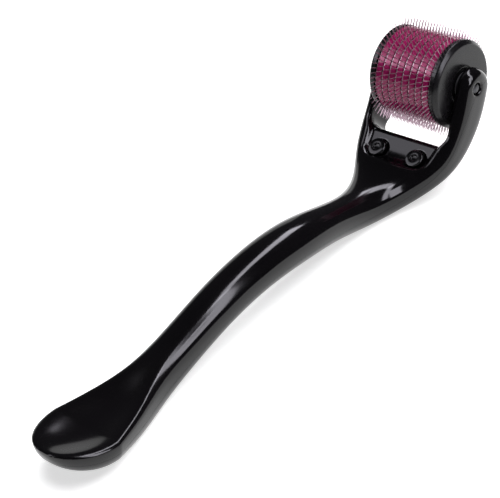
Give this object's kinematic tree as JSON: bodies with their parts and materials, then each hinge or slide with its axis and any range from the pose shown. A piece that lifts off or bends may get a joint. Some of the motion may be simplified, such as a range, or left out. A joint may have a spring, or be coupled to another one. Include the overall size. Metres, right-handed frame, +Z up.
{
  "type": "derma roller",
  "caption": "Skin needling roller: a magenta drum of steel needle discs that spins in the fork of a curved gloss black handle with a thumb dish at its tail.",
  "frame": {"origin": "on the surface that the roller lies on, midway along and across the object", "axes": "+X along the axle from the left arm to the right arm, +Y from the tail of the handle to the drum, +Z up from the surface it lies on"},
  "size_m": [0.03, 0.1473, 0.0362],
  "materials": {
    "gloss_black_shell": "polished injection-moulded black plastic",
    "cap_black": "smooth black plastic with a slight satin",
    "magenta_plastic": "tinted magenta plastic, semi-gloss",
    "needle_steel": "bright stainless steel",
    "pin_steel": "ground steel pin",
    "bush_plastic": "black acetal"
  },
  "bodies": {
    "handle": {"handle_front_shell": "gloss_black_shell", "handle_back_shell": "gloss_black_shell", "axle_pin": "pin_steel", "lock_peg_left": "gloss_black_shell", "lock_peg_right": "gloss_black_shell", "axle_bush_left": "bush_plastic", "axle_bush_right": "bush_plastic"},
    "roller": {"hub_core": "magenta_plastic", "needle_disc_1": "needle_steel", "needle_disc_2": "needle_steel", "needle_disc_3": "needle_steel", "needle_disc_4": "needle_steel", "needle_disc_5": "needle_steel", "needle_disc_6": "needle_steel", "needle_disc_7": "needle_steel", "needle_disc_8": "needle_steel", "needle_disc_9": "needle_steel", "spacer_ring_1": "magenta_plastic", "spacer_ring_2": "magenta_plastic", "spacer_ring_3": "magenta_plastic", "spacer_ring_4": "magenta_plastic", "spacer_ring_5": "magenta_plastic", "spacer_ring_6": "magenta_plastic", "spacer_ring_7": "magenta_plastic", "spacer_ring_8": "magenta_plastic", "end_cap_left": "cap_black", "end_cap_right": "cap_black"}
  },
  "joints": [
    {"name": "roller_spin", "type": "hinge", "parent": "handle", "child": "roller", "pos_m": [0, 0.06055, 0.02315], "axis": [1, 0, 0], "continuous": true}
  ]
}
